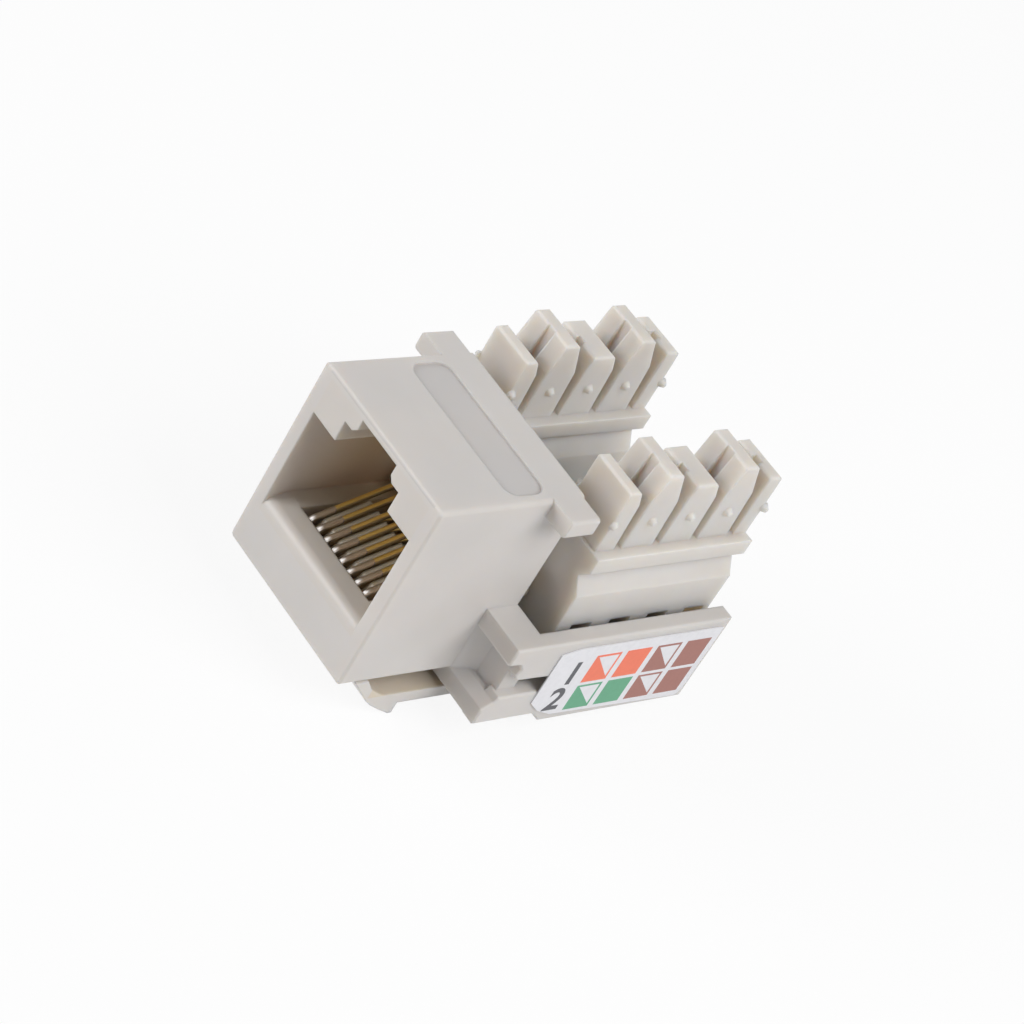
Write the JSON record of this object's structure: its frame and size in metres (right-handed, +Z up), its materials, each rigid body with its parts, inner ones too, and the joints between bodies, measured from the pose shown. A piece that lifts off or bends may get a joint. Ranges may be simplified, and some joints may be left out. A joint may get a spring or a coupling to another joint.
{
  "type": "modular ethernet jack",
  "caption": "Snap-in modular network jack: plug port at the front, spring latch below, two rows of punch-down wire terminals above a circuit board.",
  "frame": {"origin": "middle of the front face, in the mouth of the plug opening", "axes": "-Y out of the plug opening, +Y back along the jack, +Z up towards the wire terminals, +X to the right seen from the front"},
  "size_m": [0.0228, 0.0315, 0.0224],
  "materials": {
    "shell_plastic": "moulded off-white plastic, fine satin",
    "block_plastic": "moulded off-white plastic, slightly warmer",
    "insert_plastic": "grey-brown moulded plastic",
    "board": "green solder mask on glass fibre board",
    "contact_gold": "gold plated spring wire, bright at the bend",
    "blade_tin": "tin plated bronze strip",
    "label": "printed label with fields of colour"
  },
  "bodies": {
    "jack": {"base_cover": "shell_plastic", "circuit_board": "board", "contact_1": "contact_gold", "contact_2": "contact_gold", "contact_3": "contact_gold", "contact_4": "contact_gold", "contact_5": "contact_gold", "contact_6": "contact_gold", "contact_7": "contact_gold", "contact_8": "contact_gold", "contact_insert": "insert_plastic", "housing": "shell_plastic", "idc_blade_1": "blade_tin", "idc_blade_2": "blade_tin", "idc_blade_3": "blade_tin", "idc_blade_4": "blade_tin", "idc_blade_5": "blade_tin", "idc_blade_6": "blade_tin", "idc_blade_7": "blade_tin", "idc_blade_8": "blade_tin", "idc_block_left": "block_plastic", "idc_block_right": "block_plastic", "label_left": "label", "label_right": "label"},
    "latch": {"latch_arm": "shell_plastic"}
  },
  "joints": [
    {"name": "latch_flex", "type": "hinge", "parent": "jack", "child": "latch", "pos_m": [0, 0.00227, -0.0081], "axis": [1, 0, 0], "range_deg": [0, 2.6], "stiffness_Nm_per_rad": 0.8}
  ]
}
